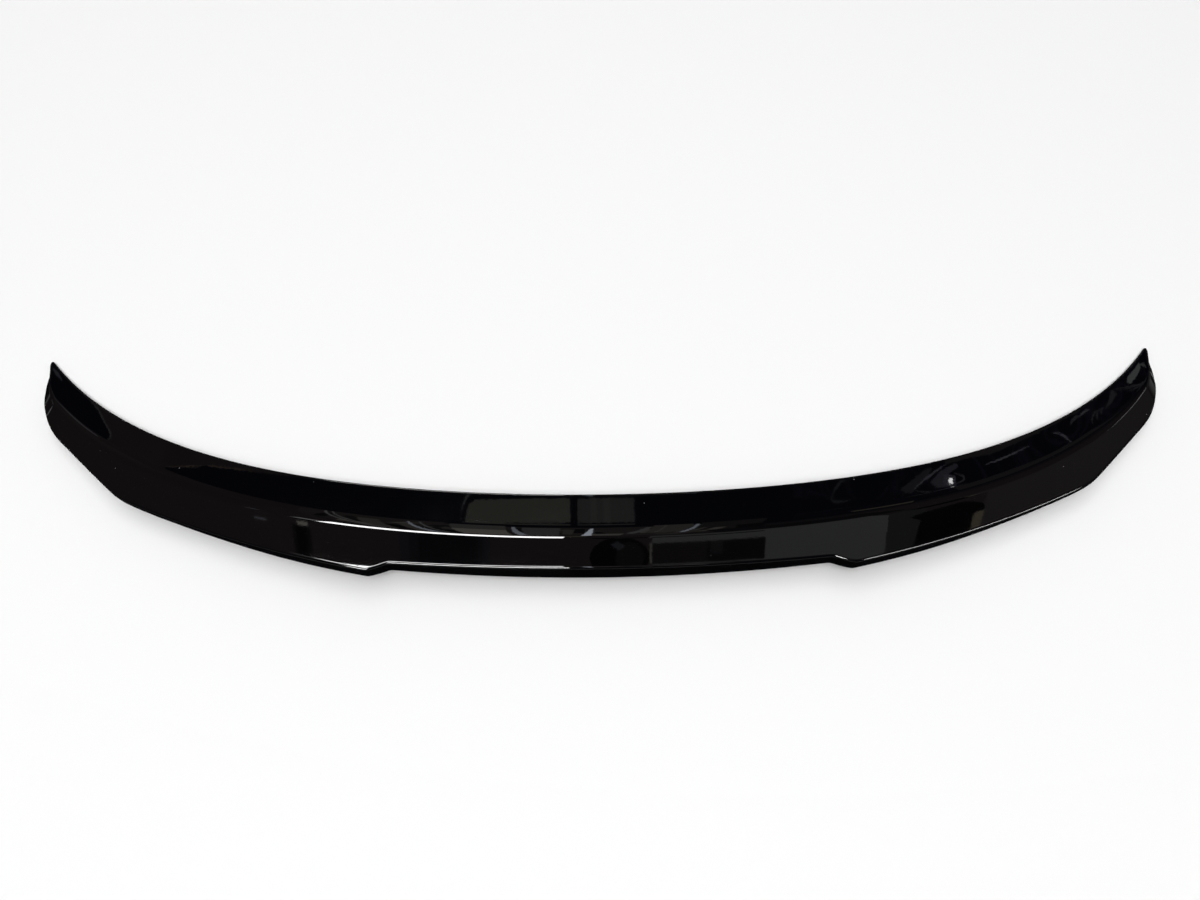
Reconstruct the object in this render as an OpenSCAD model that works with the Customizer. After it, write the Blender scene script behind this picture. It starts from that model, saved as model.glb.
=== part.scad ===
// Car rear spoiler for a boot lid, one moulded shell in gloss black.
// The skin is one loft: its sections run along the width and follow the plan curves below.
// +X is to the right, +Y towards the front of the car, +Z up. The trailing edge faces -Y.
// All sizes are millimetres. The origin is under the middle of the part, on the surface it rests on.

/* [Overall] */
// Width from tip to tip
span = 1102; // [900:1:1300]
// Depth of the middle, from leading to trailing edge
centre_depth = 79.5; // [70:0.5:95]
// Height of the leading edge's underside in the middle, over the tips
crown = 20; // [10:0.5:28]
// Wall thickness of the shell
wall = 3; // [2:0.1:4]

/* [Leading edge] */
// Even sweep of the leading edge, from the middle to a tip
sweep = 86.5; // [60:0.5:110]
// Extra sweep that builds up over the outer half
hook = 66.5; // [45:0.5:85]
// Last flick of the leading edge at the tip
flick = 10.5; // [4:0.5:16]
// Rounding of the tip's front in plan
tip_r = 5; // [2:0.5:7]
// Thickness of the leading edge
nose_t = 4.5; // [3.5:0.1:6]

/* [Trailing edge] */
// Half width of the notched middle, to where the step starts
notch_half = 199; // [150:0.5:240]
// Width of the slanted step at each end of the notch
notch_run = 18.5; // [10:0.5:30]
// How far the ends of the middle's trailing edge come forward
centre_bow = 8.5; // [5:0.5:13]
// How far the wing's trailing edge at the step stands ahead of the middle's rearmost point
wing_step = 1; // [-4:0.5:6]
// Wing's trailing edge where the cut corner starts, ahead of the leading edge's middle
wing_front = -0.5; // [-6:0.5:8]
// How far the wing's trailing edge bows back from a straight line
wing_bow = 6.5; // [2:0.5:12]
// Width of the cut corner at each end
cut_w = 98; // [70:1:120]
// How far the cut corner runs forward
cut_rise = 92; // [70:1:110]
// Rounding of the outer corner in plan
corner_r = 95; // [60:1:120]
// How far the end's trailing corner stands in from the tip
end_lean = 4.5; // [0:0.5:8]
// Rounding of the end's upper edge
end_r = 2.8; // [1.5:0.1:3.5]

/* [Kick] */
// Distance from the leading edge to the bend in the middle
bend_back = 38.5; // [30:0.5:44]
// How much nearer the bend comes to the leading edge at the tips
bend_close = 1.5; // [0:0.5:8]
// Length of the rounding on each side of the bend
bend_soft = 8; // [4:0.5:10]
// Slope of the kick in the middle, in degrees
kick_angle = 25.5; // [21:0.5:32]
// Slope of the kick at the tips, in degrees
kick_angle_tip = 24; // [18:0.5:28]
// Rounding of the trailing edge
edge_r = 3.2; // [2:0.1:4.2]

/* [Rear face] */
// Height of the rear face in the middle
lip_mid_h = 27; // [22:0.5:30]
// Height of the rear face at the two ends of the notched middle
lip_h = 19; // [15:0.5:23]
// Height of the rear face on the wings
lip_wing_h = 11; // [8:0.5:13]
// Height of the rear face at the ends
lip_end_h = 7.5; // [6.2:0.1:9]
// Rounding of the rear face's lower edge
lip_r = 1.8; // [1:0.1:2.4]
// Lean of the rear face from its top to its lower edge
lip_lean = 0.5; // [0:0.1:2]
// Thickness of the wall behind the rear face
lip_wall = 4; // [3:0.1:5]

/* [Underside] */
// Width of the tape land under the leading edge
land_w = 14; // [10:0.5:18]
// Width of the foot flange under the trailing edge
foot_w = 12; // [9:0.5:16]
// Thickness of the foot flange
foot_t = 3; // [2:0.1:4]
// Height of the upright face of the foot
foot_h = 5; // [3.5:0.1:7]
// Overhang of the trailing edge over the foot
overhang = 13; // [9:0.5:16]
// Overhang that is left at the ends
overhang_end = 5; // [3:0.5:7]
// Width of the closed land at each end
end_land = 12; // [8:0.5:16]
// Distance from rib to rib
rib_pitch = 64; // [52:1:80]
// Thickness of a rib
rib_t = 2; // [1.5:0.1:3]
// Gap between the ribs' lower edges and the lid
rib_gap = 2; // [1:0.1:3]

/* [Hidden] */
half = span / 2;
notch_in = notch_half;
notch_out = notch_half + notch_run;
cut_in = half - cut_w;
slope_mid = tan(kick_angle);
slope_tip = tan(kick_angle_tip);
// Softness of the step's two corners, as a share of its run
step_soft = 0.09;
// Softness of the join between wing and cut corner
join_soft = 4;
// The cut corner's slope in plan, and where its line meets the outer corner's arc
cut_slope = cut_rise / cut_w;
arc_in = half - corner_r + corner_r * sin(atan(cut_slope));
// Where the rear face starts and ends its change from middle to wing height, in half widths
lip_from = 0.48;
lip_to = 0.75;
// Where the overhang starts to shrink, in half widths
shrink_from = 0.8;
// Where the bend lies between the two edges at the very end, as a share of the depth there
end_share = 0.4;
// Depth over which the end's lean builds up
lean_run = 42;
// Draft on each side of a rib
rib_draft = 0.5;
// Number of stations from rib to rib, and the least room that they keep to other stations
bay_steps = 4;
station_gap = 2;
// Number of stations along the outer corner's arc
arc_steps = 6;
rib_count = floor((half - end_land - 10) / rib_pitch + 0.5);

// Helpers
function mix(a, b, t) = a + (b - a) * t;
function clamp(t) = min(1, max(0, t));
function smooth(t) = let (c = clamp(t)) c * c * (3 - 2 * c);
function soft_max(a, b, k) = (a + b + sqrt((a - b) ^ 2 + k * k)) / 2;
function ramp(t) = (sqrt(t ^ 2 + step_soft ^ 2) - sqrt((t - 1) ^ 2 + step_soft ^ 2) + 1) / 2;
function bezier(a, b, c, n) = [for (i = [0:n]) let (t = i / n) mix(mix(a, b, t), mix(b, c, t), t)];
function sorted(v) = len(v) < 2 ? v : let (p = v[floor(len(v) / 2)])
    concat(sorted([for (x = v) if (x < p) x]), [p], sorted([for (x = v) if (x > p) x]));
function reversed(v) = [for (i = [len(v) - 1:-1:0]) v[i]];

// Plan curves: the leading edge, the middle's and the wing's trailing edges, and the foot line
function rounding(s, r) = let (t = clamp((s - half + r) / r)) r * (1 - sqrt(1 - t * t));
function leading(s) = let (u = s / half) sweep * u ^ 2 + hook * u ^ 5 + flick * u ^ 16 - rounding(s, tip_r);
function middle_edge(s) = -centre_depth + centre_bow * (s / notch_half) ^ 2;
function wing_edge(s) = let (w = (s - notch_out) / (cut_in - notch_out))
    mix(wing_step - centre_depth, wing_front, w) - 4 * wing_bow * w * (1 - w);
function cut_line(s) = wing_front + cut_slope * (s - cut_in);
function cut_edge(s) = s < arc_in ? cut_line(s)
    : cut_line(arc_in) + rounding(s, corner_r) - rounding(arc_in, corner_r);
function outer_edge(s) = s < (notch_out + cut_in) / 2 ? wing_edge(s)
    : soft_max(wing_edge(min(s, cut_in + cut_w / 4)), cut_edge(s), join_soft);
function trailing(s) = mix(middle_edge(s), outer_edge(s), ramp((s - notch_in) / notch_run));
function foot_line(s) = let (
        u = s / half,
        over = mix(overhang, overhang_end, smooth((u - shrink_from) / (1 - shrink_from)))
    ) soft_max(-centre_depth + over, outer_edge(s) + over, over);

// Heights: the lid that the part sits on, the rear face and the kick's slope
function lid(u, q) = crown * (1 - u ^ 2) * (1 - (q + q ^ 2) / 2);
function lip(u) = mix(lip_h, lip_wing_h, smooth((u - lip_from) / (lip_to - lip_from)))
    - (lip_wing_h - lip_end_h) * clamp((u - lip_to) / (1 - lip_to))
    + (lip_mid_h - lip_h) * max(0, 1 - (u * half / notch_half) ^ 2);
function kick_slope(u) = mix(slope_mid, slope_tip, u ^ 2);

// The lower side of a section, from the foot to the nose: [hollow, filled by a rib, closed at the end]
function hollow_side(yl, yf, base, corners) = let (y = yf + foot_w)
    concat([[y, base(y)], [y, base(y) + foot_t], [yf + wall, base(y) + foot_t]],
        corners, [[yl - land_w, base(yl - land_w)]]);
function rib_side(yl, yf, base, n) = [for (i = [0:n - 1]) let (
        inner = clamp((i - 1) / (n - 3)),
        y = mix(yf + foot_w, yl - land_w, inner)
    ) [y, base(y) + (i == 0 || i == n - 1 ? 0 : rib_gap)]];
function end_side(yl, yf, base, n) = [for (i = [1:n]) let (y = mix(yf, yl, i / (n + 2))) [y, base(y)]];

// One section at distance s from the middle: nose, plate, bend, kick, trailing edge, rear face, foot, lower side
function section(s) = let (
        u = s / half,
        yl = leading(s),
        yt = trailing(s),
        yf = foot_line(s),
        base = function (y) lid(u, clamp((yl - y) / (yl - yf))),
        m = kick_slope(u),
        along = [1, -m] / norm([1, m]),
        under = wall * [-m, -1] / norm([1, m]),
        r = nose_t / 2,
        z_plate = lid(u, 0) + nose_t,
        bend = [max(yl - bend_back + bend_close * u ^ 4, mix(yt, yl, end_share)), z_plate],
        kick = bend.x - yt,
        soft = min(bend_soft, 0.2 * kick),
        bend_in = bend + [soft, 0],
        bend_out = bend - soft * along,
        edge = [yt, z_plate + m * kick],
        top_r = min(edge_r, 0.5 * kick),
        drop = min(lip(u), 0.8 * edge.y),
        low = edge + [lip_lean, -drop],
        low_r = min(lip_r, 0.3 * drop),
        foot_top = [yf, min(foot_h, 0.6 * low.y)],
        roof_back = edge + lip_wall * [1, -m] + [0, under.y * (1 + m * m)],
        lip_floor = [edge.x + lip_wall, min(low.y + wall, roof_back.y - 0.6)],
        bend_under = [bend.x + wall * (1 - norm([1, m])) / m, z_plate - wall],
        front = [yl - land_w, z_plate - wall],
        skin = concat(
            [for (a = [-90:45:90]) [yl - r + r * cos(a), z_plate - r + r * sin(a)]],
            [mix([yl - r, z_plate], bend_in, 0.5)],
            bezier(bend_in, bend, bend_out, 4),
            bezier(edge + top_r * along, edge, edge - [0, min(edge_r, drop / 2)], 3),
            bezier(low + [0, low_r], low, low + low_r * (foot_top - low) / norm(foot_top - low), 2),
            [foot_top, [yf, base(yf)]]),
        corners = concat([lip_floor, roof_back],
            bezier(bend_out + under, bend_under, bend_in - [0, wall], 2), [front])
    ) [skin, hollow_side(yl, yf, base, corners), rib_side(yl, yf, base, 10), end_side(yl, yf, base, 10)];

// Stations along one half, closer together at the ribs, the step, the cut corner and the end
ribs = [for (i = [1:rib_count]) (i - 0.5) * rib_pitch];
rib_stations = [for (x = ribs) for (d = [-rib_t / 2 - rib_draft, -rib_t / 2, rib_t / 2, rib_t / 2 + rib_draft])
    x + d];
step_stations = [for (t = [-0.25, 0, 0.15, 0.5, 0.85, 1, 1.25]) notch_in + t * notch_run];
cut_stations = [for (d = [-6, 0, 6]) cut_in + d];
end_stations = concat(
    [half - end_land - rib_draft, half - end_land],
    [for (i = [1:arc_steps]) half - (half - arc_in) * (i / arc_steps) ^ 2],
    [for (a = [0:30:90]) half - end_r * (1 - sin(a))]);
fixed_stations = concat(rib_stations, step_stations, cut_stations, end_stations);
even_stations = [for (x = [rib_pitch / bay_steps:rib_pitch / bay_steps:half - end_land]) x];
stations = sorted(concat(fixed_stations, [for (x = even_stations)
    if (min([for (f = fixed_stations) abs(x - f)]) > station_gap) x]));

function near_rib(s) = min([for (x = ribs) abs(s - x)]) < rib_t / 2 + 0.01;
function side_kind(s) = s > half - end_land - 0.01 ? 3 : near_rib(s) ? 2 : 1;
// The end's upper edge is rounded: its sections shrink towards the tip
function ring(s, side) = let (
        parts = section(s),
        points = concat(parts[0], parts[side_kind(s)]),
        ys = [for (p = points) p.x],
        top = max([for (p = points) p.y]),
        front = max(ys),
        depth = front - min(ys),
        keep_y = 1 - 2 * rounding(s, end_r) / depth,
        keep_z = 1 - rounding(s, end_r) / top
    ) [for (p = points) let (y = mix(front - depth / 2, p.x, keep_y))
        [side * s * (1 - end_lean / half * (front - p.x) / max(depth, lean_run)), y, p.y * keep_z]];

// Rings from the left tip to the right one, joined by triangles and closed by a strip at each tip
rings = concat([for (s = reversed(stations)) ring(s, -1)], [for (s = stations) ring(s, 1)]);
ring_n = len(rings[0]);
skin_n = ring_n - 10;
ring_points = [for (r = rings) for (p = r) p];
last = len(rings) - 1;
function strip() = [for (i = [0:skin_n - 2]) let (
        k = ring_n - 1 - min(9, floor(i * 9 / (skin_n - 2))),
        next = ring_n - 1 - min(9, floor((i + 1) * 9 / (skin_n - 2)))
    ) each concat([[i, i + 1, k]], k == next ? [] : [[i + 1, next, k]])];
function turned(tris, base, flip) = [for (t = tris) flip ? [base + t[2], base + t[1], base + t[0]]
    : [base + t[0], base + t[1], base + t[2]]];
ring_faces = concat(
    [for (r = [0:last - 1]) for (i = [0:ring_n - 1]) let (
            a = r * ring_n + i,
            b = r * ring_n + (i + 1) % ring_n
        ) each [[a, a + ring_n, b + ring_n], [a, b + ring_n, b]]],
    turned(strip(), 0, false),
    turned(strip(), last * ring_n, true));
depths = [for (p = ring_points) p.y];
heights = [for (p = ring_points) p.z];
origin = [0, (min(depths) + max(depths)) / 2, min(heights)];

module spoiler() {
    color([0.03, 0.03, 0.035])
        translate(-origin)
            polyhedron(points = ring_points, faces = ring_faces, convexity = 10);
}

spoiler();
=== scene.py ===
"""A gloss black boot lid spoiler: its skin at full smoothness, its finish, a pale floor and soft light."""
import math
import random

import bpy
import numpy as np
from mathutils import Matrix, Vector


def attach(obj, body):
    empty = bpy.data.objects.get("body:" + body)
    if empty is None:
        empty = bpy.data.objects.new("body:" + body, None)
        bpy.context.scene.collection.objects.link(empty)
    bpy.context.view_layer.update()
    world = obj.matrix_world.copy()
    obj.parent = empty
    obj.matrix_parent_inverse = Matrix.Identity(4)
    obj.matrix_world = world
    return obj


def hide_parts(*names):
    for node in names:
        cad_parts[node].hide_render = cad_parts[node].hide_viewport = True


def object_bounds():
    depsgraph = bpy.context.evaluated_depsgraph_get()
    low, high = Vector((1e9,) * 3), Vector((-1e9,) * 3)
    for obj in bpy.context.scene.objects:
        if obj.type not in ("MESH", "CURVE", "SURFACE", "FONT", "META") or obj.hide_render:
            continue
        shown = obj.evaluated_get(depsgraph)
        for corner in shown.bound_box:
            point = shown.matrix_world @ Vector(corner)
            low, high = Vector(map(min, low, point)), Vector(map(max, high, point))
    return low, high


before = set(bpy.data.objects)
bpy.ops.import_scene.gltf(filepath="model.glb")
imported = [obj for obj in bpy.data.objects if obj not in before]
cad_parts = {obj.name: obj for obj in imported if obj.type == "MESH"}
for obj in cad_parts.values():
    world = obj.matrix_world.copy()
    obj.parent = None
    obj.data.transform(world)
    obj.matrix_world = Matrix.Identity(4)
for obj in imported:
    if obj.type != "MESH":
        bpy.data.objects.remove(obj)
cad_lo, cad_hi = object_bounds()

MM = 0.001

# Sizes of the part, in millimetres: overall
SPAN = 1102.0
HALF = SPAN / 2
CENTRE_DEPTH = 79.5
CROWN = 20.0
WALL = 3.0

# Leading edge
SWEEP = 86.5
HOOK = 66.5
FLICK = 10.5
TIP_R = 5.0
NOSE_T = 4.5

# Trailing edge: the notched middle, the wings, the cut corners and the ends
NOTCH_HALF = 199.0
NOTCH_RUN = 18.5
NOTCH_OUT = NOTCH_HALF + NOTCH_RUN
CENTRE_BOW = 8.5
WING_STEP = 1.0
WING_FRONT = -0.5
WING_BOW = 6.5
CUT_W = 98.0
CUT_IN = HALF - CUT_W
CUT_RISE = 92.0
CUT_SLOPE = CUT_RISE / CUT_W
CORNER_R = 95.0
ARC_IN = HALF - CORNER_R + CORNER_R * math.sin(math.atan(CUT_SLOPE))
STEP_SOFT = 0.09
JOIN_SOFT = 4.0
END_LEAN = 4.5
LEAN_RUN = 42.0
END_R = 2.8
END_SHARE = 0.4

# Kick, the raised rear plane behind the bend
BEND_BACK = 38.5
BEND_CLOSE = 1.5
BEND_SOFT = 8.0
KICK_SLOPE_MID = math.tan(math.radians(25.5))
KICK_SLOPE_TIP = math.tan(math.radians(24.0))
EDGE_R = 3.2

# Rear face
LIP_MID_H = 27.0
LIP_H = 19.0
LIP_WING_H = 11.0
LIP_END_H = 7.5
LIP_FROM = 0.48
LIP_TO = 0.75
LIP_R = 1.8
LIP_LEAN = 0.5
LIP_WALL = 4.0
LIP_INNER_H = 0.6

# Underside
LAND_W = 14.0
FOOT_W = 12.0
FOOT_T = 3.0
FOOT_H = 5.0
OVERHANG = 13.0
OVERHANG_END = 5.0
SHRINK_FROM = 0.8
END_LAND = 12.0
RIB_PITCH = 64.0
RIB_T = 2.0
RIB_GAP = 2.0
RIB_DRAFT = 0.5
RIB_TO_LAND = 10.0

# Fineness of the visual mesh: millimetres between stations, numbers of stations, points in a section
STATION_STEP = 2.5
STATION_GAP = 0.6
NOTCH_STATIONS = 37
ARC_STATIONS = 30
ROUNDING_STATIONS = 10
NOSE_N = 13
PLATE_N = 5
BEND_N = 16
KICK_N = 6
EDGE_N = 9
LOW_EDGE_N = 6
INNER_BEND_N = 6
SIDE_N = 27
NEAR_BEND = 0.3
TOUCH = 0.01
SHARP_ANGLE = math.radians(38)
GLOSS_SLOT, MOULDED_SLOT = 0, 1


def mix(a, b, t):
    return a + (b - a) * t


def clamp(t):
    return min(1.0, max(0.0, t))


def smooth(t):
    t = clamp(t)
    return t * t * (3 - 2 * t)


def soft_max(a, b, k):
    return (a + b + math.hypot(a - b, k)) / 2


def ramp(t):
    return (math.hypot(t, STEP_SOFT) - math.hypot(t - 1, STEP_SOFT) + 1) / 2


def bezier(a, b, c, n):
    return [mix(mix(a, b, i / n), mix(b, c, i / n), i / n) for i in range(n + 1)]


def between(a, b, n):
    """n points inside the straight line from a to b."""
    return [mix(a, b, (i + 1) / (n + 1)) for i in range(n)]


def flat_run(a, b, n):
    """The same with a point close to each end, so that the shading stays flat up to the bends."""
    near = min(0.25, NEAR_BEND / max(TOUCH, np.linalg.norm(b - a)))
    inner = [mix(near, 1 - near, (i + 1) / (n + 1)) for i in range(n)]
    return [mix(a, b, t) for t in [near] + inner + [1 - near]]


# Plan curves, from the middle of the leading edge
def rounding(s, radius):
    t = clamp((s - HALF + radius) / radius)
    return radius * (1 - math.sqrt(1 - t * t))


def leading(s):
    u = s / HALF
    return SWEEP * u ** 2 + HOOK * u ** 5 + FLICK * u ** 16 - rounding(s, TIP_R)


def wing_edge(s):
    w = (s - NOTCH_OUT) / (CUT_IN - NOTCH_OUT)
    return mix(WING_STEP - CENTRE_DEPTH, WING_FRONT, w) - 4 * WING_BOW * w * (1 - w)


def cut_edge(s):
    line = WING_FRONT + CUT_SLOPE * (min(s, ARC_IN) - CUT_IN)
    return line + max(0.0, rounding(s, CORNER_R) - rounding(ARC_IN, CORNER_R))


def outer_edge(s):
    if s < (NOTCH_OUT + CUT_IN) / 2:
        return wing_edge(s)
    return soft_max(wing_edge(min(s, CUT_IN + CUT_W / 4)), cut_edge(s), JOIN_SOFT)


def trailing(s):
    middle = -CENTRE_DEPTH + CENTRE_BOW * (s / NOTCH_HALF) ** 2
    return mix(middle, outer_edge(s), ramp((s - NOTCH_HALF) / NOTCH_RUN))


def foot_line(s):
    over = mix(OVERHANG, OVERHANG_END, smooth((s / HALF - SHRINK_FROM) / (1 - SHRINK_FROM)))
    return soft_max(-CENTRE_DEPTH + over, outer_edge(s) + over, over)


# Heights of the lid that the part lies on, and of the rear face
def lid(u, q):
    return CROWN * (1 - u ** 2) * (1 - (q + q ** 2) / 2)


def lip(u):
    to_wing = smooth((u - LIP_FROM) / (LIP_TO - LIP_FROM))
    to_end = clamp((u - LIP_TO) / (1 - LIP_TO))
    bulge = (LIP_MID_H - LIP_H) * max(0.0, 1 - (u * HALF / NOTCH_HALF) ** 2)
    return mix(LIP_H, LIP_WING_H, to_wing) - (LIP_WING_H - LIP_END_H) * to_end + bulge


def section(s, kind):
    """Points (y, z) round the section at distance s: the skin, then the lower side, which is
    hollow, filled by a rib or closed at the end."""
    u = s / HALF
    yl, yt, yf = leading(s), trailing(s), foot_line(s)

    def base(y):
        return lid(u, clamp((yl - y) / (yl - yf)))

    def at(y, z):
        return np.array([y, z])

    slope = mix(KICK_SLOPE_MID, KICK_SLOPE_TIP, u ** 2)
    slant = math.hypot(1, slope)
    along = at(1, -slope) / slant
    under = WALL * at(-slope, -1) / slant
    nose_r = NOSE_T / 2
    z_plate = lid(u, 0) + NOSE_T
    bend = at(max(yl - BEND_BACK + BEND_CLOSE * u ** 4, mix(yt, yl, END_SHARE)), z_plate)
    kick = bend[0] - yt
    # Where the section gets small, each rounding is held to a share of the room it has
    soft = min(BEND_SOFT, 0.2 * kick)
    bend_in, bend_out = bend + at(soft, 0), bend - soft * along
    edge = at(yt, z_plate + slope * kick)
    drop = min(lip(u), 0.8 * edge[1])
    edge_in, edge_down = edge + min(EDGE_R, 0.5 * kick) * along, edge - at(0, min(EDGE_R, drop / 2))
    low = edge + at(LIP_LEAN, -drop)
    low_r = min(LIP_R, 0.3 * drop)
    foot_top = at(yf, min(FOOT_H, 0.6 * low[1]))
    undercut = (foot_top - low) / np.linalg.norm(foot_top - low)
    low_up, low_in = low + at(0, low_r), low + low_r * undercut
    nose_top = at(yl - nose_r, z_plate)
    nose = [at(yl - nose_r + nose_r * math.cos(a), z_plate - nose_r + nose_r * math.sin(a))
            for a in np.radians(np.linspace(-90, 90, NOSE_N))]
    skin = (nose + flat_run(nose_top, bend_in, PLATE_N) + bezier(bend_in, bend, bend_out, BEND_N)
            + flat_run(bend_out, edge_in, KICK_N) + bezier(edge_in, edge, edge_down, EDGE_N)
            + flat_run(edge_down, low_up, 1) + bezier(low_up, low, low_in, LOW_EDGE_N)
            + flat_run(low_in, foot_top, 1) + [foot_top, at(yf, base(yf))])

    foot_front, land_back = yf + FOOT_W, yl - LAND_W
    if kind == "end":
        ys = [mix(yf, yl - nose_r, i / (SIDE_N + 1)) for i in range(1, SIDE_N + 1)]
        return skin, [at(y, base(y)) for y in ys]
    if kind == "rib":
        inner = [mix(foot_front, land_back, clamp((i - 1) / (SIDE_N - 3))) for i in range(SIDE_N)]
        gaps = [0.0] + [RIB_GAP] * (SIDE_N - 2) + [0.0]
        return skin, [at(y, base(y) + gap) for y, gap in zip(inner, gaps)]
    roof_back = edge + LIP_WALL * at(1, -slope) + at(0, under[1] * (1 + slope * slope))
    lip_floor = at(edge[0] + LIP_WALL, min(low[1] + WALL, roof_back[1] - LIP_INNER_H))
    bend_under = at(bend[0] + WALL * (1 - slant) / slope, z_plate - WALL)
    foot_floor = base(foot_front) + FOOT_T
    root, front = at(yf + WALL, foot_floor), at(land_back, z_plate - WALL)
    roof = bezier(bend_out + under, bend_under, bend_in - at(0, WALL), INNER_BEND_N)
    side = ([at(foot_front, base(foot_front)), at(foot_front, foot_floor), root]
            + between(root, lip_floor, 4) + [lip_floor] + between(lip_floor, roof_back, 2)
            + [roof_back] + between(roof_back, roof[0], 4) + roof
            + between(roof[-1], front, 3) + [front, at(land_back, base(land_back))])
    return skin, side


def station_list():
    """Distances from the middle along one half, each with the kind of its section."""
    rib_count = int((HALF - END_LAND - RIB_TO_LAND) / RIB_PITCH + 0.5)
    ribs = [(i + 0.5) * RIB_PITCH for i in range(rib_count)]
    side = RIB_T / 2
    # The ribs, the notch's step, the end land, the outer corner and the end's rounding get their own
    # stations, and even ones lie between them
    fixed = [x + d for x in ribs for d in (-side - RIB_DRAFT, -side, side, side + RIB_DRAFT)]
    fixed += [NOTCH_HALF + t * NOTCH_RUN for t in np.linspace(-0.4, 1.4, NOTCH_STATIONS)]
    fixed += [HALF - END_LAND - RIB_DRAFT, HALF - END_LAND]
    fixed += [HALF - (HALF - ARC_IN) * (i / ARC_STATIONS) ** 2 for i in range(1, ARC_STATIONS + 1)]
    fixed += [HALF - END_R * (1 - math.sin(a)) for a in np.radians(np.linspace(0, 90, ROUNDING_STATIONS))]
    even = [x for x in np.arange(STATION_STEP, ARC_IN, STATION_STEP)
            if min(abs(x - f) for f in fixed) > STATION_GAP]
    result = []
    for s in sorted(set(fixed + even)):
        near_rib = min(abs(s - x) for x in ribs) < side + TOUCH
        kind = "end" if s > HALF - END_LAND - TOUCH else "rib" if near_rib else "hollow"
        result.append((s, kind))
    return result


def ring(s, kind, side):
    """The section's points in space. The last sections shrink to round the end's upper edge."""
    skin, lower = section(s, kind)
    points = np.array(skin + lower)
    front, depth = points[:, 0].max(), np.ptp(points[:, 0])
    inset = rounding(s, END_R)
    y = mix(front - depth / 2, points[:, 0], 1 - 2 * inset / depth)
    z = points[:, 1] * (1 - inset / points[:, 1].max())
    x = side * s * (1 - END_LEAN / HALF * (front - points[:, 0]) / max(depth, LEAN_RUN))
    return np.stack([x, y, z], axis=1), len(skin)


def end_faces(ring_n, skin_n):
    """Triangles across the section at a tip, from the skin's points to those of the lower side."""
    across = [ring_n - 1 - min(SIDE_N - 1, i * (SIDE_N - 1) // (skin_n - 2)) for i in range(skin_n)]
    faces = []
    for i in range(skin_n - 1):
        faces.append((i, i + 1, across[i]))
        if across[i + 1] != across[i]:
            faces.append((i + 1, across[i + 1], across[i]))
    return faces


def spoiler_mesh():
    """The whole skin, sides and underside, moved to the CAD's place and kept inside its box."""
    stations = station_list()
    rings = [ring(s, kind, -1)[0] for s, kind in reversed(stations)]
    rings += [ring(s, kind, 1)[0] for s, kind in stations]
    skin_n = ring(*stations[0], 1)[1]
    ring_n = len(rings[0])
    last = len(rings) - 1
    points = np.concatenate(rings)
    points -= [0, (points[:, 1].min() + points[:, 1].max()) / 2, points[:, 2].min()]
    points = np.clip(points, np.array(cad_lo) / MM, np.array(cad_hi) / MM)
    faces = []
    slots = []
    for k in range(last):
        for i in range(ring_n):
            j = (i + 1) % ring_n
            here, there = k * ring_n, (k + 1) * ring_n
            faces.append((here + i, there + i, there + j, here + j))
            slots.append(GLOSS_SLOT if i < skin_n - 2 else MOULDED_SLOT)
    caps = end_faces(ring_n, skin_n)
    faces += caps + [tuple(last * ring_n + i for i in reversed(face)) for face in caps]
    slots += [GLOSS_SLOT] * (2 * len(caps))
    mesh = bpy.data.meshes.new("spoiler_skin")
    mesh.from_pydata([tuple(p * MM) for p in points], [], faces)
    mesh.polygons.foreach_set("material_index", slots)
    mesh.polygons.foreach_set("use_smooth", [True] * len(faces))
    mesh.update()
    mesh.set_sharp_from_angle(angle=SHARP_ANGLE)
    return mesh


# Helpers for materials
def new_material(name):
    """A material with its node tree and its own shader."""
    material = bpy.data.materials.new(name)
    material.use_nodes = True
    return material, material.node_tree, material.node_tree.nodes["Principled BSDF"]


def node(tree, kind, **inputs):
    made = tree.nodes.new(kind)
    for name, value in inputs.items():
        made.inputs[name.replace("_", " ")].default_value = value
    return made


def calculated(tree, operation, first, second):
    """The output of a node that adds or multiplies two others' outputs."""
    made = tree.nodes.new("ShaderNodeMath")
    made.operation = operation
    tree.links.new(first, made.inputs[0])
    tree.links.new(second, made.inputs[1])
    return made.outputs["Value"]


def switched(tree, factor, off, on):
    """The output of a node that passes one shader at factor 0 and another at factor 1."""
    made = tree.nodes.new("ShaderNodeMixShader")
    tree.links.new(factor, made.inputs["Fac"])
    tree.links.new(off, made.inputs[1])
    tree.links.new(on, made.inputs[2])
    return made.outputs["Shader"]


def two_tones(tree, factor, low, high):
    """A node that passes from the colour low at factor 0 to the colour high at factor 1."""
    tone = tree.nodes.new("ShaderNodeValToRGB")
    tone.color_ramp.elements[0].color = (*low, 1)
    tone.color_ramp.elements[1].color = (*high, 1)
    tree.links.new(factor, tone.inputs["Fac"])
    return tone


# Materials of the part
PLASTIC_IOR = 1.5
DEEP_BLACK = (0.0010, 0.0010, 0.0012, 1)
DUST_GREY = (0.20, 0.20, 0.19, 1)


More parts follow.
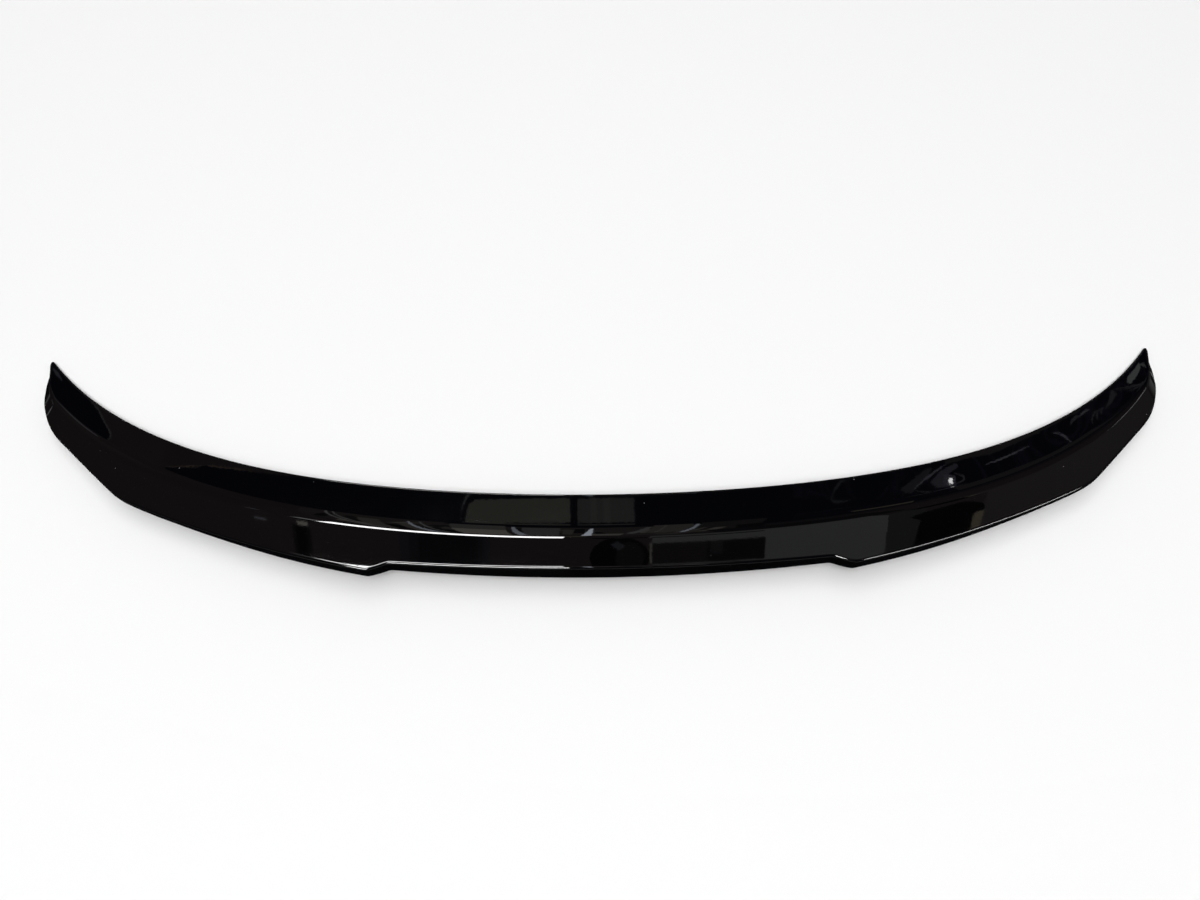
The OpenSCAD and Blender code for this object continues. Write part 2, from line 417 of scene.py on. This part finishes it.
def gloss_black():
    """Polished black plastic: a faint orange peel in the gloss and a few specks of dust."""
    material, tree, shader = new_material("gloss_black")
    link = tree.links.new
    shader.inputs["IOR"].default_value = PLASTIC_IOR
    place = tree.nodes.new("ShaderNodeTexCoord")

    peel = node(tree, "ShaderNodeTexNoise", Scale=260.0, Detail=2.0)
    link(place.outputs["Object"], peel.inputs["Vector"])
    bump = node(tree, "ShaderNodeBump", Strength=0.016, Distance=0.0002)
    link(peel.outputs["Fac"], bump.inputs["Height"])
    link(bump.outputs["Normal"], shader.inputs["Normal"])

    haze = node(tree, "ShaderNodeTexNoise", Scale=14.0, Detail=4.0)
    link(place.outputs["Object"], haze.inputs["Vector"])
    rough = node(tree, "ShaderNodeMapRange", From_Min=0.35, From_Max=0.7, To_Min=0.012, To_Max=0.03)
    link(haze.outputs["Fac"], rough.inputs["Value"])

    dust = node(tree, "ShaderNodeTexVoronoi", Scale=55.0)
    link(place.outputs["Object"], dust.inputs["Vector"])
    speck = node(tree, "ShaderNodeMapRange", From_Min=0.012, From_Max=0.03, To_Min=1.0, To_Max=0.0)
    link(dust.outputs["Distance"], speck.inputs["Value"])
    hue = tree.nodes.new("ShaderNodeSeparateColor")
    link(dust.outputs["Color"], hue.inputs["Color"])
    few = node(tree, "ShaderNodeMapRange", From_Min=0.50, From_Max=0.60)
    link(hue.outputs["Red"], few.inputs["Value"])
    mask = calculated(tree, "MULTIPLY", speck.outputs["Result"], few.outputs["Result"])
    tint = tree.nodes.new("ShaderNodeMix")
    tint.data_type = "RGBA"
    tint.inputs["A"].default_value = DEEP_BLACK
    tint.inputs["B"].default_value = DUST_GREY
    link(mask, tint.inputs["Factor"])
    link(tint.outputs["Result"], shader.inputs["Base Color"])
    link(calculated(tree, "ADD", rough.outputs["Result"], mask), shader.inputs["Roughness"])
    return material


def moulded_black():
    """The unpolished underside: satin black with a fine moulded grain."""
    material, tree, shader = new_material("moulded_black")
    link = tree.links.new
    shader.inputs["IOR"].default_value = PLASTIC_IOR
    place = tree.nodes.new("ShaderNodeTexCoord")
    grain = node(tree, "ShaderNodeTexNoise", Scale=1400.0, Detail=3.0)
    link(place.outputs["Object"], grain.inputs["Vector"])
    bump = node(tree, "ShaderNodeBump", Strength=0.25, Distance=0.0003)
    link(grain.outputs["Fac"], bump.inputs["Height"])
    link(bump.outputs["Normal"], shader.inputs["Normal"])
    flow = node(tree, "ShaderNodeTexNoise", Scale=9.0, Detail=3.0)
    link(place.outputs["Object"], flow.inputs["Vector"])
    rough = node(tree, "ShaderNodeMapRange", From_Min=0.3, From_Max=0.7, To_Min=0.32, To_Max=0.48)
    link(flow.outputs["Fac"], rough.inputs["Value"])
    link(rough.outputs["Result"], shader.inputs["Roughness"])
    tone = two_tones(tree, flow.outputs["Fac"], (0.010, 0.010, 0.011), (0.020, 0.020, 0.021))
    link(tone.outputs["Color"], shader.inputs["Base Color"])
    return material


def build_spoiler():
    body = bpy.data.objects.new("spoiler_skin", spoiler_mesh())
    bpy.context.collection.objects.link(body)
    body.data.materials.append(gloss_black())
    body.data.materials.append(moulded_black())
    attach(body, "root")
    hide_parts("spoiler")


# Stage: the floor, the lamps and the world's light
FLOOR_REACH = 30.0
FLOOR_DROP = 0.0002
FLOOR_WHITE = (0.93, 0.93, 0.93, 1)
SHOWN_WHITE = 0.95
SOFT_LIGHT = 0.265
WHITE = (1, 1, 1, 1)


def pale_floor():
    """White to the eye and to the light. In the gloss it carries a painted shade: dark near the part and
    pale further out.
    In the distance the eye sees it merge into the background."""
    material, tree, shader = new_material("pale_floor")
    link = tree.links.new
    shader.inputs["Base Color"].default_value = FLOOR_WHITE
    shader.inputs["Roughness"].default_value = 0.9
    shader.inputs["Specular IOR Level"].default_value = 0.0
    path = tree.nodes.new("ShaderNodeLightPath")
    place = tree.nodes.new("ShaderNodeTexCoord")

    # Painted shade in the reflection: glossy rays see the floor dark near the part, paling outward
    dim = tree.nodes.new("ShaderNodeBsdfDiffuse")
    narrow = tree.nodes.new("ShaderNodeVectorMath")
    narrow.operation = "MULTIPLY"
    narrow.inputs[1].default_value = (0.25, 1.0, 1.0)
    link(place.outputs["Object"], narrow.inputs[0])
    away = tree.nodes.new("ShaderNodeVectorMath")
    away.operation = "LENGTH"
    link(narrow.outputs["Vector"], away.inputs[0])
    outward = node(tree, "ShaderNodeMapRange", From_Min=0.16, From_Max=0.6)
    link(away.outputs["Value"], outward.inputs["Value"])
    tone = two_tones(tree, outward.outputs["Result"], (0.005, 0.005, 0.006), (0.60, 0.60, 0.60))
    link(tone.outputs["Color"], dim.inputs["Color"])
    lit = switched(tree, path.outputs["Is Glossy Ray"], shader.outputs["BSDF"], dim.outputs["BSDF"])

    reach = tree.nodes.new("ShaderNodeVectorMath")
    reach.operation = "LENGTH"
    link(place.outputs["Object"], reach.inputs[0])
    edge = node(tree, "ShaderNodeMapRange", From_Min=1.5, From_Max=3.5)
    link(reach.outputs["Value"], edge.inputs["Value"])
    seen = calculated(tree, "MULTIPLY", edge.outputs["Result"], path.outputs["Is Camera Ray"])
    white = node(tree, "ShaderNodeEmission", Color=WHITE, Strength=SHOWN_WHITE)
    merged = switched(tree, seen, lit, white.outputs["Emission"])
    link(merged, tree.nodes["Material Output"].inputs["Surface"])
    return material


def build_floor():
    mesh = bpy.data.meshes.new("floor")
    corners = [(x * FLOOR_REACH, y * FLOOR_REACH, -FLOOR_DROP) for x, y in box(-1, 1, -1, 1)]
    mesh.from_pydata(corners, [], [(0, 1, 2, 3)])
    floor = bpy.data.objects.new("floor", mesh)
    bpy.context.collection.objects.link(floor)
    mesh.materials.append(pale_floor())


def soft_lamp(name, place, size, power):
    """A large lamp that points at the part and doesn't show in its gloss."""
    data = bpy.data.lights.new(name, "AREA")
    data.shape = "RECTANGLE"
    data.size, data.size_y = size
    data.energy = power
    lamp = bpy.data.objects.new(name, data)
    bpy.context.collection.objects.link(lamp)
    lamp.location = place
    lamp.rotation_euler = (-Vector(place)).to_track_quat("-Z", "Y").to_euler()
    lamp.visible_camera = False
    lamp.visible_glossy = False


def build_lamps():
    soft_lamp("key", place=(-0.2, -2.15, 5.05), size=(2.2, 2.0), power=150)
    soft_lamp("overhead", place=(-0.3, 0.5, 6.0), size=(5.0, 4.4), power=148)


# Tones of the room that shows in the gloss
ROOM_BROWN = (0.084, 0.066, 0.067)
ROOM_WARM = (0.14, 0.12, 0.11)
ROOM_TAN = (0.30, 0.27, 0.24)
ROOM_DARK = (0.004, 0.006, 0.020)
SLAB_TAN = (0.34, 0.31, 0.27)
SLOT_BLACK = (0.01, 0.01, 0.012)
BLACK = (0.002, 0.002, 0.004)
PALE = (1.0, 1.0, 1.0)
COOL = (0.80, 0.88, 1.0)


def build_world():
    """Pale for the camera, even and soft for the light, and a dim brown room in the gloss."""
    world = bpy.data.worlds.new("studio")
    bpy.context.scene.world = world
    world.use_nodes = True
    tree = world.node_tree
    link = tree.links.new
    path = tree.nodes.new("ShaderNodeLightPath")
    place = tree.nodes.new("ShaderNodeTexCoord")
    split = tree.nodes.new("ShaderNodeSeparateXYZ")
    link(place.outputs["Generated"], split.inputs["Vector"])
    room = tree.nodes.new("ShaderNodeValToRGB")
    stops = [(0.00, (0.70, 0.70, 0.70)), (0.12, (0.45, 0.44, 0.43)), (0.22, ROOM_BROWN),
             (0.62, ROOM_BROWN), (0.74, ROOM_DARK)]
    steps = room.color_ramp.elements
    while len(steps) < len(stops):
        steps.new(0.5)
    for element, (spot, colour) in zip(steps, stops):
        element.position = spot
        element.color = (*colour, 1)
    link(split.outputs["Z"], room.inputs["Fac"])
    soft = node(tree, "ShaderNodeBackground", Color=WHITE, Strength=SOFT_LIGHT)
    shown = node(tree, "ShaderNodeBackground", Color=WHITE, Strength=SHOWN_WHITE)
    mirrored = node(tree, "ShaderNodeBackground", Strength=1.0)
    link(room.outputs["Color"], mirrored.inputs["Color"])
    in_gloss = switched(tree, path.outputs["Is Glossy Ray"], soft.outputs["Background"],
                        mirrored.outputs["Background"])
    for_eye = switched(tree, path.outputs["Is Camera Ray"], in_gloss, shown.outputs["Background"])
    link(for_eye, tree.nodes["World Output"].inputs["Surface"])


# The room is made of flat cards on its ceiling and far wall, in millimetres
CEILING = 1500.0
WALL_Y = 1000.0
SCREEN_Y = 250.0
RIBBON_N = 14
RIBBON_DROP = 4
OVAL_N = 24
THING_COUNT = 40
THING_SEED = 4
RAIL_DROP = 9


def glow(colour, strength=1.0):
    """A plain tone that gives its own light."""
    material, tree, shader = new_material("glow")
    tree.nodes.remove(shader)
    light = node(tree, "ShaderNodeEmission", Color=(*colour, 1), Strength=strength)
    tree.links.new(light.outputs["Emission"], tree.nodes["Material Output"].inputs["Surface"])
    return material


def graded(x0, tone0, x1, tone1):
    """A tone that passes evenly into another one between two places across the room."""
    material = glow(tone0)
    tree = material.node_tree
    place = tree.nodes.new("ShaderNodeTexCoord")
    split = tree.nodes.new("ShaderNodeSeparateXYZ")
    tree.links.new(place.outputs["Object"], split.inputs["Vector"])
    along = node(tree, "ShaderNodeMapRange", From_Min=x0 * MM, From_Max=x1 * MM)
    tree.links.new(split.outputs["X"], along.inputs["Value"])
    tone = two_tones(tree, along.outputs["Result"], tone0, tone1)
    tree.links.new(tone.outputs["Color"], tree.nodes["Emission"].inputs["Color"])
    return material


def mottled(low, high):
    """A tone that drifts softly between two others."""
    material = glow(low)
    tree = material.node_tree
    place = tree.nodes.new("ShaderNodeTexCoord")
    cloud = node(tree, "ShaderNodeTexNoise", Scale=6.0, Detail=1.0, Distortion=0.6)
    tree.links.new(place.outputs["Object"], cloud.inputs["Vector"])
    tone = two_tones(tree, cloud.outputs["Fac"], low, high)
    tone.color_ramp.elements[0].position = 0.38
    tone.color_ramp.elements[1].position = 0.62
    tree.links.new(tone.outputs["Color"], tree.nodes["Emission"].inputs["Color"])
    return material


def smoke():
    """Dark blue with faint drifting bands, as from crumpled film."""
    material = glow(ROOM_DARK)
    tree = material.node_tree
    place = tree.nodes.new("ShaderNodeTexCoord")
    bands = node(tree, "ShaderNodeTexNoise", Scale=3.2, Detail=1.0, Distortion=3.0)
    tree.links.new(place.outputs["Object"], bands.inputs["Vector"])
    tone = tree.nodes.new("ShaderNodeValToRGB")
    steps = tone.color_ramp.elements
    for spot in (0.44, 0.46, 0.50, 0.56, 0.58):
        steps.new(spot)
    for i, element in enumerate(steps):
        element.color = (0.035, 0.035, 0.06, 1) if i in (2, 4) else (*ROOM_DARK, 1)
    tree.links.new(bands.outputs["Fac"], tone.inputs["Fac"])
    tree.links.new(tone.outputs["Color"], tree.nodes["Emission"].inputs["Color"])
    return material


def box(x0, x1, y0, y1):
    """Corners of a rectangle: the second pair runs along y on the ceiling and up the wall."""
    return [(x0, y0), (x1, y0), (x1, y1), (x0, y1)]


def oval(x, z, half_width, half_height):
    angles = np.linspace(0, math.tau, OVAL_N + 1)[:-1]
    return [(x + half_width * math.cos(a), z + half_height * math.sin(a)) for a in angles]


def card(name, corners, material):
    """A flat sheet that only the gloss sees."""
    mesh = bpy.data.meshes.new(name)
    mesh.from_pydata([tuple(c * MM for c in corner) for corner in corners], [], [tuple(range(len(corners)))])
    sheet = bpy.data.objects.new(name, mesh)
    bpy.context.collection.objects.link(sheet)
    mesh.materials.append(material)
    sheet.visible_camera = False
    sheet.visible_diffuse = False
    sheet.visible_transmission = False
    sheet.visible_shadow = False


def ceiling_card(name, outline, material, drop=0.0):
    card(name, [(x, y, CEILING - drop) for x, y in outline], material)


def ceiling_cards(sheets):
    """Plain cards, each given by name, outline, colour, strength and drop."""
    for name, outline, colour, strength, drop in sheets:
        ceiling_card(name, outline, glow(colour, strength), drop)


def wall_card(name, outline, material, ahead=0.0):
    card(name, [(x, WALL_Y - ahead, z) for x, z in outline], material)


def ribbon(name, start, pull, end, width, material):
    """A narrow bent sheet on the ceiling, from start to end and thin at both."""
    line = bezier(np.array(start, float), np.array(pull, float), np.array(end, float), RIBBON_N)
    left, right = [], []
    for i, spot in enumerate(line):
        step = line[min(i + 1, RIBBON_N)] - line[max(i - 1, 0)]
        across = np.array([-step[1], step[0]]) / np.linalg.norm(step)
        half = width * (0.1 + 0.4 * math.sin(math.pi * i / RIBBON_N))
        left.append(tuple(spot + half * across))
        right.append(tuple(spot - half * across))
    ceiling_card(name, left + right[::-1], material, RIBBON_DROP)


def build_left_ceiling():
    """Over the left end: a brown ceiling with an uneven near edge and a dark opening in it."""
    edge = [(-2600, 500), (-1240, 500), (-1240, 700), (-1219, 700), (-1193, 697), (-1137, 691), (-1119, 697),
            (-1100, 693), (-1038, 682), (-986, 674), (-940, 664), (-885, 656), (-826, 650), (-700, 640)]
    ground = edge + [(-700, 2400), (-2600, 2400)]
    ceiling_card("left_ceiling", ground, mottled(ROOM_BROWN, (0.10, 0.08, 0.08)))
    opening = [(-1436, 798), (-1436, 811), (-1450, 829), (-1471, 855), (-1494, 886), (-1520, 909),
               (-1560, 950), (-1600, 1000), (-1600, 1200), (-2000, 1300), (-2300, 1100), (-2000, 800),
               (-1500, 760)]
    rim_width, rim_end = 5, -1700
    inner = [(x - rim_width, y) if x > rim_end else (x, y) for x, y in opening]
    lower_rim = [(-1475, 985), (-1395, 965), (-1340, 1060), (-1306, 1211), (-1440, 1211)]
    ceiling_cards((
        ("left_opening_rim", opening, (0.25, 0.24, 0.25), 1, 1),
        ("left_opening", inner, ROOM_DARK, 1, 2),
        ("left_opening_lower_rim", lower_rim, (0.34, 0.33, 0.36), 1, 3),
    ))
    tan = glow((0.34, 0.26, 0.20))
    ribbon("wedge_rim", (-1240, 701), (-1190, 694), (-1119, 696), 3, tan)
    ribbon("wedge_rim", (-1119, 696), (-1060, 686), (-960, 669), 3, tan)
    ribbon("tip_bar", (-1712, 1026), (-1684, 1015), (-1650, 986), 12, glow((0.24, 0.25, 0.29)))


def build_far_ceiling():
    """Odds and ends on the far side of the ceiling, a busy band along the bend."""
    ceiling_cards((
        ("far_ceiling", box(-700, -400, 640, 2400), ROOM_WARM, 1, 0),
        ("far_ceiling", box(-400, 300, 800, 2400), ROOM_WARM, 1, 0),
        ("far_ceiling_left", box(-800, -700, 700, 2400), (0.20, 0.18, 0.17), 1, 0),
        ("far_ceiling_right", box(300, 480, 650, 2400), (0.085, 0.075, 0.070), 1, 0),
    ))
    chance = random.Random(THING_SEED)
    colours = ((0.015, 0.015, 0.02), (0.05, 0.045, 0.045), (0.24, 0.22, 0.20), (0.48, 0.44, 0.39))
    tones = [glow(colour) for colour in colours]
    for i in range(THING_COUNT):
        x, y = chance.uniform(-800, 420), chance.uniform(820, 1700)
        wide, deep, lean = chance.uniform(15, 90), chance.uniform(150, 800), chance.uniform(-60, 60)
        outline = [(x, y), (x + wide, y), (x + wide + lean, y + deep), (x + lean, y + deep)]
        ceiling_card("thing", outline, chance.choice(tones), 1 + 0.2 * i)
    sheets = (
        ("tan_slab", box(-640, -578, 900, 2300), SLAB_TAN, 1.0),
        ("dark_slot", box(-578, -532, 1400, 2200), SLOT_BLACK, 1.0),
        ("tan_slab", box(-532, -502, 1100, 2300), SLAB_TAN, 1.0),
        ("dark_slot", box(-488, -440, 1400, 2200), SLOT_BLACK, 1.0),
        ("thin_rail", [(-716, 660), (-712, 660), (-604, 2400), (-616, 2400)], PALE, 0.9),
        ("long_rail", [(-736, 680), (-729, 680), (-640, 2400), (-652, 2400)], PALE, 0.9),
        ("thin_rail", [(-470, 760), (-466, 760), (-428, 2400), (-440, 2400)], PALE, 0.9),
        ("bright_rail", [(-502, 780), (-498, 780), (-458, 2400), (-494, 2400)], COOL, 2.2),
        ("tan_case", box(-388, -235, 720, 1250), (0.36, 0.35, 0.33), 1.0),
        ("tan_case_lit", box(-388, -235, 1250, 2300), (0.85, 0.80, 0.70), 1.0),
        ("cool_rail", [(-220, 800), (-210, 800), (-180, 2300), (-214, 2300)], COOL, 2.0),
        ("grey_case", box(-190, -85, 850, 2300), (0.38, 0.37, 0.37), 1.0),
        ("tan_box", box(-76, -44, 1000, 1900), ROOM_TAN, 1.0),
        ("lamp_wedge", [(-3, 900), (6, 900), (20, 2300), (-14, 2300)], COOL, 5.0),
        ("tan_line", box(12, 112, 1800, 2300), (0.60, 0.56, 0.50), 1.0),
        ("grey_rail", [(150, 850), (166, 850), (142, 1900), (118, 1900)], (0.5, 0.5, 0.52), 1.0),
        ("brown_case", box(168, 276, 690, 1750), ROOM_TAN, 1.0),
        ("case_edge", box(197, 203, 690, 1750), (0.55, 0.52, 0.48), 1.0),
        ("right_rail", [(284, 740), (294, 740), (298, 1900), (280, 1900)], COOL, 2.2),
        ("olive_sheet", [(720, 1010), (900, 1090), (900, 1260), (735, 1150)], (0.32, 0.29, 0.22), 1.0),
    )
    ceiling_cards((*sheet, RAIL_DROP) for sheet in sheets)


def build_right_ceiling():
    """Over the right end: pale swirls on a dark sheet."""
    ceiling_card("right_sheet", box(560, 1950, 560, 1120), smoke(), 1)
    sheen = [(1022, 662), (1103, 684), (1165, 695), (1203, 709), (1242, 725), (1321, 758), (1404, 796),
             (1502, 841), (1502, 1120), (1022, 1120)]
    drift_left = [(873, 589), (924, 624), (962, 649), (981, 652), (962, 629), (933, 607), (909, 583),
                  (887, 581)]
    drift_right = [(968, 612), (1003, 644), (1053, 666), (1060, 659), (1033, 641), (1016, 622),
                   (1010, 600), (985, 598)]
    drift_end = [(1593, 850), (1619, 868), (1653, 901), (1639, 913), (1629, 906), (1617, 880)]
    shine = [(1005, 602), (1044, 603), (1047, 632), (1012, 634)]
    lamp = [(1022, 608), (1033, 608), (1035, 623), (1024, 623)]
    blob = [(1703, 943), (1713, 961), (1753, 990), (1773, 1008), (1780, 998), (1764, 976), (1740, 955),
            (1713, 937)]
    ceiling_cards((
        ("right_sheen", sheen, (0.105, 0.092, 0.095), 1, 2),
        ("drift_left", drift_left, (0.11, 0.11, 0.13), 1, 2),
        ("drift_right", drift_right, (0.20, 0.20, 0.25), 1, 2),
        ("drift_end", drift_end, (0.17, 0.17, 0.19), 1, 2),
        ("lamp_shine", shine, (0.28, 0.28, 0.36), 1, 3),
        ("small_lamp", lamp, PALE, 14, 6),
        ("blob", blob, (0.62, 0.66, 0.64), 1, 2),
    ))
    line = glow((0.85, 0.85, 1.0), 0.55)
    faint = glow((0.80, 0.78, 0.90), 0.26)
    dim = glow((0.15, 0.16, 0.18))
    swirls = [
        ("outline_top", (716, 609), (698, 616), (669, 565), 6, dim),
        ("outline_low", (669, 565), (655, 545), (723, 558), 6, dim),
        ("tear_upper", (1022, 661), (956, 625), (914, 590), 5, line),
        ("tear_lower", (914, 590), (935, 579), (990, 588), 3, faint),
        ("tear_inner", (1044, 638), (1104, 628), (1039, 607), 7, faint),
        ("tear_shade", (985, 618), (975, 596), (1005, 600), 5, faint),
        ("long_line", (1143, 664), (1209, 686), (1300, 725), 5, line),
        ("arc", (1385, 768), (1430, 770), (1450, 735), 6, line),
        ("hook_low", (1455, 795), (1470, 822), (1501, 824), 9, faint),
        ("hook", (1495, 824), (1511, 838), (1535, 846), 6, line),
    ]
    for i in range(3):
        start, pull = (1540 + 18 * i, 800 + 16 * i), (1527 + 24 * i, 822 + 14 * i)
        swirls.append(("ring", start, pull, (1564 + 13 * i, 846 + 4 * i), 5, faint))
    swirls.append(("blob_arm", (1775, 1000), (1804, 1010), (1826, 998), 10, glow((0.42, 0.45, 0.44))))
    for i in range(3):
        start, pull, end = (1640 + 25 * i, 912), (1700 + 25 * i, 925), (1800 + 10 * i, 952 + 8 * i)
        swirls.append(("streak", start, pull, end, 3, faint))
    for swirl in swirls:
        ribbon(*swirl)


def build_panels():
    """Two olive panels in the middle of the ceiling, and the lamps that the trailing edge catches."""
    panel = [(-352, 504), (-62, 501), (-62, 563), (-322, 566), (-342, 555)]
    ceiling_card("panel_left", panel, glow((0.31, 0.31, 0.26)), 2)
    ribbon("panel_arc", (-311, 600), (-352, 585), (-360, 540), 7, glow((0.30, 0.31, 0.32)))
    ceiling_cards((
        ("panel_right", box(-42, 114, 499, 562), (0.23, 0.225, 0.215), 1, 2),
        ("panel_stripe", box(-7, 11, 499, 562), (0.28, 0.275, 0.26), 1, 3),
        ("panel_stripe", box(29, 47, 499, 562), (0.28, 0.275, 0.26), 1, 3),
        ("rear_lamp_left", box(-800, -60, 250, 480), PALE, 90, 0),
        ("rear_lamp_right", box(860, 1420, 250, 480), PALE, 40, 0),
    ))


def build_far_wall():
    """The strip light, the grey board and what stands before them."""
    door = [(536, 404), (560, 399), (600, 397), (614, 402), (626, 412), (626, 480), (545, 480), (552, 414)]
    mark = [(33, 405), (45, 399), (58, 407), (56, 413), (46, 417)]
    sheets = [
        ("strip_light", box(-474, -52, 468, 590), PALE, 26, 0),
        ("strip_tail", box(-516, -474, 495, 560), PALE, 1.6, 0),
        ("cream_edge", box(-330, -10, 592, 622), (0.75, 0.66, 0.50), 1, 0),
        ("tan_frame", box(-485, -471, 389, 396), (0.9, 0.85, 0.75), 1, 12),
        ("small_mark", box(-575, -563, 500, 540), COOL, 0.6, 12),
        ("small_mark", box(-537, -524, 395, 398), COOL, 0.7, 12),
        ("high_shadow", box(240, 580, 560, 900), (0.025, 0.025, 0.03), 1, -5),
        ("grey_board", box(108, 508, 330, 560), (0.30, 0.305, 0.30), 1, 0),
        ("dark_case", box(106, 307, 405, 449), (0.045, 0.038, 0.040), 1, 10),
        ("dark_case_end", box(205, 307, 405, 449), (0.020, 0.018, 0.020), 1, 11),
        ("dark_case_haze", box(211, 233, 405, 432), (0.050, 0.050, 0.055), 1, 12),
        ("green_shade", box(508, 560, 330, 470), (0.085, 0.09, 0.082), 1, 0),
        ("dark_door", door, BLACK, 1, 10),
        ("cream_post", box(614, 624, 420, 454), (0.44, 0.38, 0.28), 1, 20),
        ("right_wall", box(626, 760, 330, 520), (0.13, 0.115, 0.115), 1, 5),
    ]
    for i, shade in enumerate((0.055, 0.035, 0.018)):
        outline = box(-335 + 16 * i, -180 - 12 * i, 330, 466)
        sheets.append(("dark_curtain", outline, (shade, shade, 1.2 * shade), 1, i))
    sheets += [
        ("post_shade", box(-495, -470, 400, 470), (0.030, 0.026, 0.028), 1, 0),
        ("dark_post", box(-490, -475, 402, 470), BLACK, 1, 2),
        ("dark_stand", oval(50, 436, 54, 42), BLACK, 1, 0),
        ("stand_side", oval(68, 436, 26, 32), (0.034, 0.030, 0.031), 1, 2),
        ("stand_mark", mark, (0.11, 0.12, 0.14), 1, 12),
        ("thin_edge", box(103, 107, 404, 446), (0.45, 0.43, 0.40), 1, 12),
    ]
    for name, outline, colour, strength, ahead in sheets:
        wall_card(name, outline, glow(colour, strength), ahead)


def build_end_screens():
    """Brown screens close behind the two ends, each with a bright rim."""
    nearer = WALL_Y - SCREEN_Y
    left_tones = graded(-600, (0.120, 0.100, 0.092), -530, ROOM_BROWN)
    wall_card("left_screen", box(-620, -425, 15, 330), left_tones, nearer)
    wall_card("left_screen_rim", box(-500, -472, 60, 66), glow(PALE, 1.5), nearer + 2)
    right_tones = graded(540, (0.135, 0.120, 0.118), 600, (0.21, 0.18, 0.165))
    wall_card("right_screen", box(488, 640, 15, 116), right_tones, nearer)
    wall_card("right_screen_top", box(488, 525, 116, 152), right_tones, nearer)
    rim = [(530, 123), (592, 120), (592, 127), (550, 125)]
    wall_card("right_screen_rim", rim, glow(PALE, 8), nearer)


def build_room():
    build_left_ceiling()
    build_far_ceiling()
    build_right_ceiling()
    build_panels()
    build_far_wall()
    build_end_screens()


# The photograph's view: an axis through a point ahead of the leading edge's middle
CAMERA_PITCH = 65.04
CAMERA_YAW = 2.83
CAMERA_ROLL = 1.73
CAMERA_DISTANCE = 1022.7 * MM
CAMERA_LENS = 32.4
SENSOR_WIDTH = 36.0
AXIS_AHEAD = 46.6 * MM
AXIS_SIDE = -7.4 * MM
AXIS_HEIGHT = 20.0 * MM


def build_camera():
    pitch, yaw, roll = (math.radians(a) for a in (CAMERA_PITCH, CAMERA_YAW, CAMERA_ROLL))
    look = Vector((math.sin(yaw) * math.cos(pitch), math.cos(yaw) * math.cos(pitch), -math.sin(pitch)))
    level = Vector((math.cos(yaw), -math.sin(yaw), 0))
    upright = level.cross(look)
    right = level * math.cos(roll) + upright * math.sin(roll)
    up = upright * math.cos(roll) - level * math.sin(roll)
    leading_y = cad_lo.y + CENTRE_DEPTH * MM
    target = Vector((AXIS_SIDE, leading_y + AXIS_AHEAD, AXIS_HEIGHT))
    data = bpy.data.cameras.new("camera")
    data.lens = CAMERA_LENS
    data.sensor_width = SENSOR_WIDTH
    camera = bpy.data.objects.new("camera", data)
    bpy.context.collection.objects.link(camera)
    turn = Matrix((right, up, -look)).transposed().to_4x4()
    camera.matrix_world = Matrix.Translation(target - CAMERA_DISTANCE * look) @ turn
    bpy.context.scene.camera = camera


build_spoiler()
build_floor()
build_world()
build_room()
build_lamps()
build_camera()

bpy.context.scene.view_settings.view_transform = "Standard"
